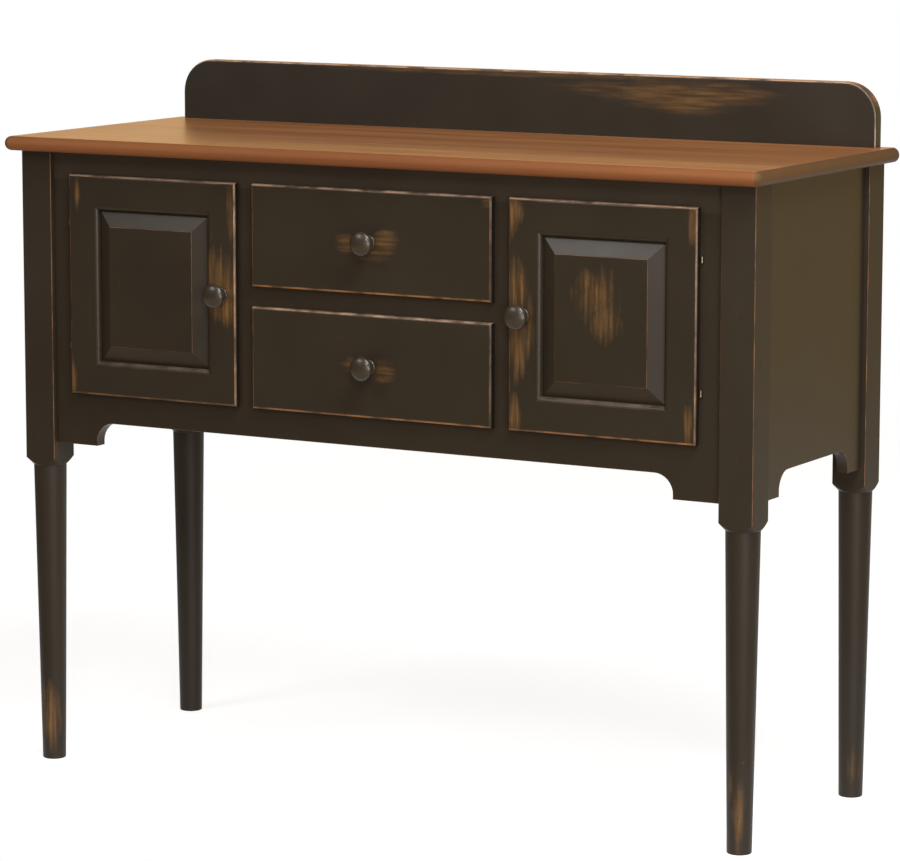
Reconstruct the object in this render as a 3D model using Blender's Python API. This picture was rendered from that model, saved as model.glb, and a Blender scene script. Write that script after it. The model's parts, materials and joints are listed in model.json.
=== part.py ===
"""Painted buffet cabinet on four turned legs, with two raised-panel doors and two drawers.

Metres, +Z up. +X is the right-hand side seen from the front, and +Y runs to the back.
The origin is on the floor, below the middle of the overall box.
Left-hand pieces are made as their right-hand twins and mirrored.
"""
import math

import bmesh
import bpy
from mathutils import Matrix, Vector

for old_object in list(bpy.data.objects):
    bpy.data.objects.remove(old_object, do_unlink=True)

# Driving dimensions

# Fits
seat_gap = 0.0003                  # between pieces that are glued, nailed or resting on each other
cutter_margin = 0.004              # how far a cutter runs past what it cuts

# Legs
leg_side = 0.0508
leg_depth = 0.4235                 # over the outer faces, front to back
leg_edge_radius = 0.0012
turning_height = 0.446             # floor to the foot of the 45 degree shoulder
square_below_tabs = 0.036          # foot of the shoulder to the lowest edge of the case
turning_inset = 0.00125            # top of the turning inside the faces of the square
foot_diameter = 0.0346
foot_chamfer = 0.0012

# Top board and backsplash
top_thickness = 0.021
top_side_overhang = 0.0166
top_front_overhang = 0.0263
top_back_overhang = 0.0129
top_corner_land = 0.0015           # what a corner's radius is larger than the roll of the edges
bullnose_flat = 0.0004             # left between the two rolls of an edge
backsplash_inset = 0.0276          # ends of the backsplash inside the ends of the top board
backsplash_height = 0.0912
backsplash_thickness = 0.021
backsplash_corner_radius = 0.050
backsplash_edge_radius = 0.0035

# Case boards
frame_setback = 0.0077             # face frame behind the front faces of the legs
frame_thickness = 0.019
side_setback = 0.0066              # side panels inside the outer faces of the legs
side_thickness = 0.016
bottom_thickness = 0.016
partition_thickness = 0.016
dust_board_thickness = 0.012
back_setback = 0.008               # back panel inside the back faces of the legs
back_thickness = 0.006
rear_rail_thickness = 0.019

# Joinery between the legs and what runs between them
tenon_length = 0.015
tenon_thickness = 0.009
tenon_shoulder = 0.006             # above and below a tenon

# Shaped lower edges of the apron and the side panels
front_tab_width = 0.0713
side_tab_width = 0.0466
tab_fillet = 0.0285
tab_riser = 0.006                  # upright edge of a tab, below its fillet

# Faces of the doors and drawers, and the frame seen round them
door_width = 0.2882
drawer_width = 0.3906
drawer_height = 0.1465
apron_showing = 0.0423             # below the fronts, at the straight part of the apron
top_rail_showing = 0.032
divider_showing = 0.0287           # between the two drawers
mullion_showing = 0.0258           # between a door and the drawers
stile_showing = 0.0329             # between a door and a leg
lip_overlap = 0.0075               # lip over the edge of its opening
lip_proud = 0.0104                 # faces in front of the frame
lip_edge_radius = 0.005

# Door frames and raised panels
door_thickness = 0.020
stile_width = 0.0505
door_rail_width = 0.0507
moulding_width = 0.007
moulding_quirk = 0.0008
groove_behind_face = 0.009
groove_width = 0.006
groove_depth = 0.008
panel_float = 0.001                # panel edge clear of the bottom of its groove
panel_bevel_width = 0.0227
panel_field_proud = 0.0022         # field in front of the face of the door
panel_shoulder = 0.0012

# Drawer boxes
drawer_front_thickness = 0.020
drawer_wall = 0.011
drawer_headroom = 0.0232           # opening above the sides of the box
drawer_back_clearance = 0.0025     # between the box and the rear rails
drawer_bottom_thickness = 0.006
drawer_bottom_rise = 0.010
drawer_groove_depth = 0.005
drawer_side_clearance = 0.0012
drawer_face_clearance = 0.001

# Knobs
knob_from_edge = 0.02375           # axis of a door's knob from the edge of its lip
knob_diameter = 0.035
knob_reach = 0.0305
knob_head_thickness = 0.016
knob_neck_diameter = 0.016
knob_collar_diameter = 0.0225
knob_collar_thickness = 0.0045
knob_underside_angle = 60          # degrees below the rim where the head meets the neck

# Hinges and catches
hinge_from_end = 0.0705            # middle of a hinge from the end of its door
leaf_thickness = 0.0007
leaf_gap = 0.0004                  # between the two closed leaves
leaf_height = 0.030
frame_leaf_wrap = 0.014            # frame leaf along the edge of the opening
door_leaf_wrap = 0.010             # door leaf along the rabbet
knuckle_diameter = 0.0046
knuckle_height = 0.0078
knuckle_gap = 0.0003
knuckle_clearance = 0.0003         # knuckle beside the lip
pin_diameter = 0.002
pin_clearance = 0.0002
pin_head_diameter = 0.0034
pin_head_height = 0.0006
pin_head_chamfer = 0.0003
strap_inset = 0.00005              # a strap is this much thinner than its leaf, on each side
catch_width = 0.034
catch_depth = 0.014
catch_plate_height = 0.028
catch_nose_height = 0.016
catch_gap = 0.0008                 # between the catch and the closed door

# Facets of round surfaces
turning_steps = 48
knob_steps = 32
knob_curve_steps = 10
hinge_steps = 24
fillet_steps = 8
corner_steps = 10
roll_steps = 6
edge_steps = 5
softening_steps = 3
smooth_angle = 32                  # degrees, above which an edge stays crisp
mesh_tolerance = 0.00001           # places closer than this are the same

# Places worked out from the driving dimensions

drawer_edge = drawer_width / 2
drawer_opening = drawer_edge - lip_overlap
door_inner = drawer_edge + mullion_showing
door_outer = door_inner + door_width
leg_inner = door_outer + stile_showing
half_span = leg_inner + leg_side

tab_height = turning_height + square_below_tabs
straight_edge_height = tab_height + tab_riser + tab_fillet
fronts_height = straight_edge_height + apron_showing
door_height = 2 * drawer_height + divider_showing
fronts_top = fronts_height + door_height
leg_height = fronts_top + top_rail_showing
opening_low = fronts_height + lip_overlap
opening_high = fronts_top - lip_overlap
divider_low = fronts_height + drawer_height - lip_overlap
divider_high = fronts_top - drawer_height + lip_overlap

front_reach = max(lip_proud + seat_gap + knob_reach - frame_setback, top_front_overhang)
leg_front = (front_reach - leg_depth - top_back_overhang) / 2
leg_back = leg_front + leg_depth
frame_front = leg_front + frame_setback
frame_back = frame_front + frame_thickness
face = frame_front - lip_proud

top_low = leg_height + seat_gap
top_high = top_low + top_thickness
top_back = leg_back + top_back_overhang

side_outer = half_span - side_setback
side_inner = side_outer - side_thickness
side_front = leg_front + leg_side + seat_gap
side_back = leg_back - leg_side - seat_gap
back_front = leg_back - back_setback - back_thickness
rear_rail_back = back_front - seat_gap
rear_rail_front = rear_rail_back - rear_rail_thickness

hinge_room = 2 * seat_gap + 2 * leaf_thickness + leaf_gap
rabbet = lip_overlap + hinge_room
door_lip_back = frame_front - hinge_room
door_back = face + door_thickness
hinge_x = door_outer + knuckle_clearance + knuckle_diameter / 2
hinge_y = frame_front - seat_gap - knuckle_diameter / 2

# Finishes: colour, roughness and metallic value

BLACK_PAINT = ((0.034, 0.026, 0.019, 1), 0.45, 0.0)
STAINED_WOOD = ((0.400, 0.185, 0.075, 1), 0.38, 0.0)
BARE_WOOD = ((0.520, 0.360, 0.210, 1), 0.65, 0.0)
NICKEL = ((0.720, 0.690, 0.620, 1), 0.30, 1.0)
BROWN_PLASTIC = ((0.090, 0.055, 0.035, 1), 0.50, 0.0)


# Building tools

def add(name, bm, finish, carrier=None):
    """Turn a mesh that was built in place into a named object, held by its carrier if it moves."""
    if carrier:
        bmesh.ops.translate(bm, vec=-carrier.location, verts=bm.verts)
    bmesh.ops.recalc_face_normals(bm, faces=bm.faces)
    mesh = bpy.data.meshes.new(name)
    bm.to_mesh(mesh)
    bm.free()
    mesh.shade_smooth()
    mesh.set_sharp_from_angle(angle=math.radians(smooth_angle))
    colour, roughness, metallic = finish
    material = bpy.data.materials.new(name)
    material.use_nodes = True
    shader = material.node_tree.nodes["Principled BSDF"]
    shader.inputs["Base Color"].default_value = colour
    shader.inputs["Roughness"].default_value = roughness
    shader.inputs["Metallic"].default_value = metallic
    mesh.materials.append(material)
    piece = bpy.data.objects.new(name, mesh)
    piece.parent = carrier
    bpy.context.collection.objects.link(piece)


def carrier_at(name, location):
    """Empty that carries the pieces of one moving body."""
    empty = bpy.data.objects.new(name, None)
    empty.location = location
    bpy.context.collection.objects.link(empty)
    return empty


def box(x, y, z):
    """Box between (low, high) pairs."""
    bm = bmesh.new()
    middle = Vector([(low + high) / 2 for low, high in (x, y, z)])
    size = Vector([high - low for low, high in (x, y, z)])
    bmesh.ops.create_cube(bm, size=1, matrix=Matrix.LocRotScale(middle, None, size))
    return bm


def prism(outline, along, low, high):
    """Flat outline extruded along X, Y or Z; its points are in the other two, in X, Y, Z order."""
    axis = "XYZ".index(along)
    bm = bmesh.new()
    loops = []
    for place in (low, high):
        points = [list(point) for point in outline]
        for point in points:
            point.insert(axis, place)
        loops.append([bm.verts.new(point) for point in points])
    skin(bm, loops)
    return bm


def skin(bm, loops, closed=False):
    """Faces between loops of equal length, capped at both ends or closed into a ring."""
    following_loops = loops[1:]
    if closed:
        following_loops = following_loops + loops[:1]
    else:
        bm.faces.new(loops[0])
        bm.faces.new(loops[-1])
    for loop, following in zip(loops, following_loops):
        for index, vert in enumerate(loop):
            bm.faces.new((loop[index - 1], vert, following[index], following[index - 1]))
    bmesh.ops.recalc_face_normals(bm, faces=bm.faces)


def rectangle(bm, x, z, y):
    """Corner points of an upright rectangle."""
    corners = ((x[0], y, z[0]), (x[1], y, z[0]), (x[1], y, z[1]), (x[0], y, z[1]))
    return [bm.verts.new(corner) for corner in corners]


def stepped_board(steps):
    """Board through upright rectangles, each given as x, z and y."""
    bm = bmesh.new()
    skin(bm, [rectangle(bm, *step) for step in steps])
    return bm


def ring(x, z, section):
    """Mitred ring round an upright rectangle; the section's points are a spread and a y."""
    bm = bmesh.new()
    loops = [rectangle(bm, widened(x, spread), widened(z, spread), y) for spread, y in section]
    skin(bm, loops, closed=True)
    return bm


def widened(span, amount):
    """The (low, high) pair with both ends moved out."""
    return (span[0] - amount, span[1] + amount)


def arc(centre, radius, start, end, steps):
    """Points along a circular arc, angles in degrees."""
    u, v = centre
    angles = [math.radians(start + (end - start) * step / steps) for step in range(steps + 1)]
    return [(u + radius * math.cos(angle), v + radius * math.sin(angle)) for angle in angles]


def turned(profile, steps, closed=False):
    """Profile of (radius, height) points spun about the Z axis."""
    bm = bmesh.new()
    verts = [bm.verts.new((radius, 0, height)) for radius, height in profile]
    pairs = list(zip(verts, verts[1:]))
    if closed:
        pairs.append((verts[-1], verts[0]))
    edges = [bm.edges.new(pair) for pair in pairs]
    bmesh.ops.spin(bm, geom=verts + edges, axis=(0, 0, 1), angle=math.tau, steps=steps, use_merge=True)
    bmesh.ops.remove_doubles(bm, verts=bm.verts, dist=mesh_tolerance)
    bmesh.ops.recalc_face_normals(bm, faces=bm.faces)
    return bm


def moved(bm, place):
    """The same mesh, shifted."""
    bmesh.ops.translate(bm, vec=place, verts=bm.verts)
    return bm


def sided(bm, side):
    """The same mesh for the right side, or mirrored for the left."""
    if side == "left":
        bmesh.ops.scale(bm, vec=(-1, 1, 1), verts=bm.verts)
        bmesh.ops.reverse_faces(bm, faces=bm.faces)
    return bm


def rounded(bm, radius, steps, chosen):
    """The same mesh with the edges rounded whose two ends satisfy the test."""
    edges = [edge for edge in bm.edges if chosen(edge.verts[0].co, edge.verts[1].co)]
    bmesh.ops.bevel(bm, geom=edges, offset=radius, segments=steps, profile=0.5, affect="EDGES")
    return bm


def boolean(base, tool, operation):
    """Boolean of two meshes, both of which are used up."""
    pieces = []
    for bm in (base, tool):
        mesh = bpy.data.meshes.new("boolean")
        bm.to_mesh(mesh)
        bm.free()
        piece = bpy.data.objects.new("boolean", mesh)
        bpy.context.collection.objects.link(piece)
        pieces.append(piece)
    modifier = pieces[0].modifiers.new("boolean", "BOOLEAN")
    modifier.operation = operation
    modifier.object = pieces[1]
    result = bmesh.new()
    result.from_object(pieces[0], bpy.context.evaluated_depsgraph_get())
    for piece in pieces:
        mesh = piece.data
        bpy.data.objects.remove(piece, do_unlink=True)
        bpy.data.meshes.remove(mesh)
    return result


def near(value, target):
    """Whether two places are the same, allowing for the precision of a mesh."""
    return abs(value - target) < mesh_tolerance


# Tenons, as the (low, high) pairs of the right-hand one of each pair

frame_y = (frame_front, frame_back)
rear_rail_y = (rear_rail_front, rear_rail_back)
bottom_low = opening_low - bottom_thickness
top_rail_z = (opening_high, leg_height)
apron_z = (tab_height, opening_low)
rear_bottom_rail_z = (straight_edge_height, bottom_low - seat_gap)


def rail_tenon(y, z):
    """Tenon in the inner face of a leg."""
    middle = sum(y) / 2
    thickness = (middle - tenon_thickness / 2, middle + tenon_thickness / 2)
    return (leg_inner - cutter_margin, leg_inner + tenon_length), thickness, widened(z, -tenon_shoulder)


def side_tenon(y):
    """Tenon of a side panel, in the back face of a front leg or the front face of a rear leg."""
    middle = (side_inner + side_outer) / 2
    thickness = (middle - tenon_thickness / 2, middle + tenon_thickness / 2)
    return thickness, y, widened((tab_height, leg_height), -tenon_shoulder)


top_rail_tenon = rail_tenon(frame_y, top_rail_z)
apron_tenon = rail_tenon(frame_y, apron_z)
rear_top_tenon = rail_tenon(rear_rail_y, top_rail_z)
rear_bottom_tenon = rail_tenon(rear_rail_y, rear_bottom_rail_z)
side_front_tenon = side_tenon((leg_front + leg_side - tenon_length, side_front + cutter_margin))
side_back_tenon = side_tenon((side_back - cutter_margin, leg_back - leg_side + tenon_length))


def tenoned(bm, *tenons):
    """The same piece with its tenons."""
    for tenon in tenons:
        bm = boolean(bm, box(*tenon), "UNION")
    return bm


def both_ends(tenon):
    """The right-hand tenon of a rail and its left-hand twin."""
    x, y, z = tenon
    return tenon, ((-x[1], -x[0]), y, z)


# Legs, square at the case and turned below a shoulder

def leg():
    """Square post cut by the lathe, standing on the Z axis."""
    half = leg_side / 2
    post = box((-half, half), (-half, half), (-cutter_margin, leg_height))
    post = rounded(post, leg_edge_radius, softening_steps, lambda a, b: near(a.x, b.x) and near(a.y, b.y))
    foot_radius = foot_diameter / 2
    turning_radius = half - turning_inset
    corner_radius = leg_side
    lathe_cut = [
        (0, leg_height + cutter_margin),
        (corner_radius, leg_height + cutter_margin),
        (corner_radius, turning_height + corner_radius - turning_radius),
        (turning_radius, turning_height),
        (foot_radius, foot_chamfer),
        (foot_radius - foot_chamfer, 0),
        (0, 0),
    ]
    return boolean(post, turned(lathe_cut, turning_steps), "INTERSECT")


legs = {
    "front": (leg_front + leg_side / 2, (top_rail_tenon, apron_tenon, side_front_tenon)),
    "rear": (leg_back - leg_side / 2, (rear_top_tenon, rear_bottom_tenon, side_back_tenon)),
}
for end, (leg_y, tenons) in legs.items():
    for side in ("left", "right"):
        post = moved(leg(), (half_span - leg_side / 2, leg_y, 0))
        for tenon in tenons:
            mortise = box(*[widened(span, seat_gap) for span in tenon])
            post = boolean(post, mortise, "DIFFERENCE")
        add(f"{end}_{side}_leg", sided(post, side), BLACK_PAINT)

# Face frame between the front legs

rail_x = (seat_gap - leg_inner, leg_inner - seat_gap)
upright_z = (opening_low + seat_gap, opening_high - seat_gap)

add("top_rail", tenoned(box(rail_x, frame_y, top_rail_z), *both_ends(top_rail_tenon)), BLACK_PAINT)


def shaped_board(low, high, top, tab_width):
    """Outline of a board whose lower edge rises between two end tabs, with filleted corners."""
    fillet_height = straight_edge_height - tab_fillet
    left = low + tab_width
    right = high - tab_width
    return [
        (low, top),
        (low, tab_height),
        (left, tab_height),
        *arc((left + tab_fillet, fillet_height), tab_fillet, 180, 90, fillet_steps),
        *arc((right - tab_fillet, fillet_height), tab_fillet, 90, 0, fillet_steps),
        (right, tab_height),
        (high, tab_height),
        (high, top),
    ]


apron_outline = shaped_board(*rail_x, opening_low, front_tab_width)
add("front_apron", tenoned(prism(apron_outline, "Y", *frame_y), *both_ends(apron_tenon)), BLACK_PAINT)

for side in ("left", "right"):
    stile_x = (door_outer - lip_overlap, leg_inner - seat_gap)
    add(f"{side}_stile", sided(box(stile_x, frame_y, upright_z), side), BLACK_PAINT)
    mullion_x = (drawer_opening, door_inner + lip_overlap)
    add(f"{side}_mullion", sided(box(mullion_x, frame_y, upright_z), side), BLACK_PAINT)

divider_x = (seat_gap - drawer_opening, drawer_opening - seat_gap)
add("drawer_divider", box(divider_x, frame_y, (divider_low, divider_high)), BLACK_PAINT)

# Side panels between the front and rear legs

for side in ("left", "right"):
    outline = shaped_board(side_front, side_back, leg_height, side_tab_width)
    panel = tenoned(prism(outline, "X", side_inner, side_outer), side_front_tenon, side_back_tenon)
    add(f"{side}_side_panel", sided(panel, side), BLACK_PAINT)

# Back panel and the rails it is nailed to

rear_top_rail = box(rail_x, rear_rail_y, top_rail_z)
rear_bottom_rail = box(rail_x, rear_rail_y, rear_bottom_rail_z)
back_panel = box(rail_x, (back_front, back_front + back_thickness), (straight_edge_height, leg_height))
add("rear_top_rail", tenoned(rear_top_rail, *both_ends(rear_top_tenon)), BARE_WOOD)
add("rear_bottom_rail", tenoned(rear_bottom_rail, *both_ends(rear_bottom_tenon)), BARE_WOOD)
add("back_panel", back_panel, BARE_WOOD)

# Boards inside the case

inside_front = frame_back + seat_gap
inside_back = back_front - seat_gap
bottom_half = side_inner - seat_gap
notch_half = leg_inner - seat_gap
bottom_outline = [
    (-notch_half, inside_front),
    (notch_half, inside_front),
    (notch_half, side_front),
    (bottom_half, side_front),
    (bottom_half, side_back),
    (notch_half, side_back),
    (notch_half, inside_back),
    (-notch_half, inside_back),
    (-notch_half, side_back),
    (-bottom_half, side_back),
    (-bottom_half, side_front),
    (-notch_half, side_front),
]
add("case_bottom", prism(bottom_outline, "Z", bottom_low, opening_low), BARE_WOOD)

partition_outline = [
    (inside_front, opening_low + seat_gap),
    (inside_back, opening_low + seat_gap),
    (inside_back, opening_high - seat_gap),
    (rear_rail_front - seat_gap, opening_high - seat_gap),
    (rear_rail_front - seat_gap, leg_height),
    (inside_front, leg_height),
]
for side in ("left", "right"):
    partition = prism(partition_outline, "X", drawer_opening, drawer_opening + partition_thickness)
    add(f"{side}_partition", sided(partition, side), BARE_WOOD)

dust_board_z = (divider_high - dust_board_thickness, divider_high)
add("dust_board", box(divider_x, (inside_front, inside_back), dust_board_z), BARE_WOOD)

# Top board with three bullnose edges, and the backsplash that stands on it


def top_board():
    """Board with rounded front corners, its front and ends rolled over to half circles."""
    end_x = half_span + top_side_overhang
    front_y = leg_front - top_front_overhang
    roll = (top_thickness - bullnose_flat) / 2
    corner_radius = roll + top_corner_land
    corner_y = front_y + corner_radius
    corner_x = end_x - corner_radius
    outline = [
        (end_x, top_back),
        (-end_x, top_back),
        *arc((-corner_x, corner_y), corner_radius, 180, 270, edge_steps),
        *arc((corner_x, corner_y), corner_radius, 270, 360, edge_steps),
    ]
    board = prism(outline, "Z", top_low, top_high)
    return rounded(board, roll, roll_steps, lambda a, b: near(a.z, b.z) and not near(a.y + b.y, 2 * top_back))


def backsplash():
    """Upright board with round upper corners and softened edges."""
    half = half_span + top_side_overhang - backsplash_inset
    low = top_high + seat_gap
    high = top_high + backsplash_height
    corner_x = half - backsplash_corner_radius
    corner_z = high - backsplash_corner_radius
    outline = [
        (-half, low),
        (half, low),
        *arc((corner_x, corner_z), backsplash_corner_radius, 0, 90, corner_steps),
        *arc((-corner_x, corner_z), backsplash_corner_radius, 90, 180, corner_steps),
    ]
    board = prism(outline, "Y", top_back - backsplash_thickness, top_back)
    return rounded(board, backsplash_edge_radius, softening_steps,
                   lambda a, b: near(a.y, b.y) and not near(a.z + b.z, 2 * low))


add("top_board", top_board(), STAINED_WOOD)
add("backsplash", backsplash(), BLACK_PAINT)

# Turned knobs


def knob(x, z):
    """Mushroom knob on a collar, standing out of a door or drawer face at the given place."""
    head_radius = knob_diameter / 2
    neck_radius = knob_neck_diameter / 2
    collar_radius = knob_collar_diameter / 2
    half_head = knob_head_thickness / 2
    rim = knob_reach - half_head
    collar_curve = arc((collar_radius - knob_collar_thickness / 2, knob_collar_thickness / 2),
                       knob_collar_thickness / 2, -90, 90, edge_steps)
    head_curve = [(head_radius * across, rim + half_head * out)
                  for across, out in arc((0, 0), 1, -knob_underside_angle, 90, knob_curve_steps)]
    profile = [
        (0, 0),
        *collar_curve,
        (neck_radius, knob_collar_thickness),
        (neck_radius, head_curve[0][1]),
        *head_curve,
    ]
    bm = turned(profile, knob_steps)
    bmesh.ops.rotate(bm, matrix=Matrix.Rotation(math.pi / 2, 3, "X"), verts=bm.verts)
    return moved(bm, (x, face - seat_gap, z))


# Drawers: lipped front, two sides, back and a bottom let into grooves


def drawer_front(half_width, face_z, run, groove_z):
    """Lipped front, rounded at its face edges, grooved behind for the bottom."""
    lip_x = (-drawer_edge, drawer_edge)
    body_x = (-half_width, half_width)
    body_z = (run + drawer_face_clearance, run + drawer_height - 2 * lip_overlap - drawer_face_clearance)
    back = face + drawer_front_thickness
    lip_back = frame_front - seat_gap
    steps = [
        (body_x, body_z, back),
        (body_x, body_z, lip_back),
        (lip_x, face_z, lip_back),
    ]
    for inset, rise in arc((lip_edge_radius, lip_edge_radius), lip_edge_radius, 180, 270, edge_steps):
        steps.append((widened(lip_x, -inset), widened(face_z, -inset), face + rise))
    groove = box(widened(body_x, cutter_margin), (back - drawer_groove_depth, back + cutter_margin), groove_z)
    return boolean(stepped_board(steps), groove, "DIFFERENCE")


def drawer(name, face_low):
    """One drawer, on the board whose upper face is at the bottom of its opening."""
    carrier = carrier_at(f"{name}_slide", (0, face, face_low + drawer_height / 2))
    run = face_low + lip_overlap
    side_low = run + seat_gap
    side_high = face_low + drawer_height - lip_overlap - drawer_headroom
    bottom_z = (side_low + drawer_bottom_rise, side_low + drawer_bottom_rise + drawer_bottom_thickness)
    groove_z = widened(bottom_z, seat_gap)
    side_outer_x = drawer_opening - drawer_side_clearance
    side_inner_x = side_outer_x - drawer_wall
    groove_x = side_inner_x + drawer_groove_depth
    between = side_inner_x - seat_gap
    box_back = rear_rail_front - drawer_back_clearance

    face_z = (face_low, face_low + drawer_height)
    add(f"{name}_front", drawer_front(between, face_z, run, groove_z), BLACK_PAINT, carrier)
    side_outline = [
        (side_outer_x, side_low),
        (side_outer_x, side_high),
        (side_inner_x, side_high),
        (side_inner_x, groove_z[1]),
        (groove_x, groove_z[1]),
        (groove_x, groove_z[0]),
        (side_inner_x, groove_z[0]),
        (side_inner_x, side_low),
    ]
    for side in ("left", "right"):
        wall = prism(side_outline, "Y", frame_front, box_back)
        add(f"{name}_{side}_side", sided(wall, side), BARE_WOOD, carrier)
    back_z = (bottom_z[1] + seat_gap, side_high)
    back = box((-between, between), (box_back - drawer_wall, box_back), back_z)
    add(f"{name}_back", back, BARE_WOOD, carrier)
    bottom_half_width = groove_x - seat_gap
    bottom_front = face + drawer_front_thickness - drawer_groove_depth + seat_gap
    bottom = box((-bottom_half_width, bottom_half_width), (bottom_front, box_back), bottom_z)
    add(f"{name}_bottom", bottom, BARE_WOOD, carrier)
    add(f"{name}_knob", knob(0, face_low + drawer_height / 2), BLACK_PAINT, carrier)


drawer("upper_drawer", fronts_top - drawer_height)
drawer("lower_drawer", fronts_height)

# Doors: lipped frame of two stiles and two rails round a raised panel

lip_z = (fronts_height, fronts_top)
lip_x = (door_inner, door_outer)
panel_opening_x = widened(lip_x, -stile_width)
panel_opening_z = widened(lip_z, -door_rail_width)
groove_y = (face + groove_behind_face, face + groove_behind_face + groove_width)


def door_member(x, z, groove):
    """Frame member with its lip, rounded face edges, inner moulding and panel groove."""
    def on_rim(a, b):
        """Whether an edge runs along the outer rim of the door's face."""
        if not (near(a.y, face) and near(b.y, face)):
            return False
        along_side = any(near(a.x, rim) and near(b.x, rim) for rim in lip_x)
        along_end = any(near(a.z, rim) and near(b.z, rim) for rim in lip_z)
        return along_side or along_end

    member = rounded(box(x, (face, door_back), z), lip_edge_radius, edge_steps, on_rim)
    outside = rabbet + cutter_margin
    rabbet_cut = [
        (0, door_lip_back),
        (outside, door_lip_back),
        (outside, door_back + cutter_margin),
        (0, door_back + cutter_margin),
    ]
    rabbet_ring = ring(widened(lip_x, -rabbet), widened(lip_z, -rabbet), rabbet_cut)
    member = boolean(member, rabbet_ring, "DIFFERENCE")
    curve_low = face + moulding_quirk + moulding_width
    moulding_cut = [
        (moulding_width, face - cutter_margin),
        *arc((moulding_width, curve_low), moulding_width, 270, 180, edge_steps),
        (-cutter_margin, curve_low),
        (-cutter_margin, face - cutter_margin),
    ]
    member = boolean(member, ring(panel_opening_x, panel_opening_z, moulding_cut), "DIFFERENCE")
    return boolean(member, groove, "DIFFERENCE")


def door_stile(edge, inward):
    """Full-height member from an edge of the door, inward being -1 or 1."""
    inner = edge + inward * stile_width
    groove_x = sorted((inner + inward * cutter_margin, inner - inward * groove_depth))
    groove = box(groove_x, groove_y, widened(lip_z, cutter_margin))
    return door_member(sorted((edge, inner)), lip_z, groove)


def door_rail(edge, inward):
    """Member between the stiles, with a stub tenon at each end that fits their grooves."""
    inner = edge + inward * door_rail_width
    x = widened(panel_opening_x, -seat_gap)
    groove_z = sorted((inner + inward * cutter_margin, inner - inward * groove_depth))
    groove = box(widened(x, cutter_margin), groove_y, groove_z)
    rail = door_member(x, sorted((edge, inner)), groove)
    tenon_z = sorted((edge + inward * (rabbet + seat_gap), inner - inward * (groove_depth + seat_gap)))
    tenon_reach = groove_depth - 2 * seat_gap
    for end, out in zip(x, (-1, 1)):
        tenon_x = sorted((end - out * cutter_margin, end + out * tenon_reach))
        rail = boolean(rail, box(tenon_x, widened(groove_y, -seat_gap), tenon_z), "UNION")
    return rail


def raised_panel():
    """Panel with a tongue all round, a bevel and a flat field."""
    tongue = groove_depth - panel_float
    tongue_front = groove_y[0] + seat_gap
    field = face - panel_field_proud
    edges = [
        (tongue, groove_y[1] - seat_gap),
        (tongue, tongue_front),
        (0, tongue_front),
        (-panel_bevel_width, field + panel_shoulder),
        (-panel_bevel_width, field),
    ]
    steps = [(widened(panel_opening_x, out), widened(panel_opening_z, out), y) for out, y in edges]
    return stepped_board(steps)


def door(side):
    """One door, hinged at its outer edge, with its half of the hinges' leaves."""
    mirror = -1 if side == "left" else 1
    carrier = carrier_at(f"{side}_door_swing", (mirror * hinge_x, hinge_y, fronts_height))
    pieces = {
        "hinge_stile": door_stile(door_outer, -1),
        "lock_stile": door_stile(door_inner, 1),
        "top_rail": door_rail(fronts_top, -1),
        "bottom_rail": door_rail(fronts_height, 1),
        "panel": raised_panel(),
        "knob": knob(door_inner + knob_from_edge, fronts_height + door_height / 2),
    }
    for name, bm in pieces.items():
        add(f"{side}_door_{name}", sided(bm, side), BLACK_PAINT, carrier)
    for level, middle in hinge_levels:
        add(f"{side}_{level}_hinge_door_leaf", sided(door_leaf(middle), side), NICKEL, carrier)


# Hinges: two wrap-round leaves under the lip, with only the knuckle in sight

hinge_levels = (("upper", fronts_top - hinge_from_end), ("lower", fronts_height + hinge_from_end))
knuckle_radius = knuckle_diameter / 2
pin_radius = pin_diameter / 2
knuckle_part = knuckle_height / 3
opening_edge = door_outer - lip_overlap
rabbet_wall = door_outer - rabbet


def knuckle(low, high):
    """Tube round the hinge's axis."""
    bore = pin_radius + pin_clearance
    section = [(bore, low), (knuckle_radius, low), (knuckle_radius, high), (bore, high)]
    return moved(turned(section, hinge_steps, closed=True), (hinge_x, hinge_y, 0))


def frame_leaf(middle):
    """Leaf that lies on the frame under the lip and wraps into the opening, with two knuckles."""
    plate_y = (frame_front - seat_gap - leaf_thickness, frame_front - seat_gap)
    wrap_x = (opening_edge - seat_gap - leaf_thickness, opening_edge - seat_gap)
    outline = [
        (wrap_x[0], plate_y[0]),
        (door_outer, plate_y[0]),
        (door_outer, plate_y[1]),
        (wrap_x[1], plate_y[1]),
        (wrap_x[1], frame_front + frame_leaf_wrap),
        (wrap_x[0], frame_front + frame_leaf_wrap),
    ]
    leaf = prism(outline, "Z", middle - leaf_height / 2, middle + leaf_height / 2)
    for low in (middle - knuckle_height / 2, middle + knuckle_height / 2 - knuckle_part):
        strap = box((door_outer - leaf_thickness, hinge_x), widened(plate_y, -strap_inset),
                    (low + strap_inset, low + knuckle_part - strap_inset))
        leaf = boolean(leaf, strap, "UNION")
        leaf = boolean(leaf, knuckle(low, low + knuckle_part), "UNION")
    return leaf


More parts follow.
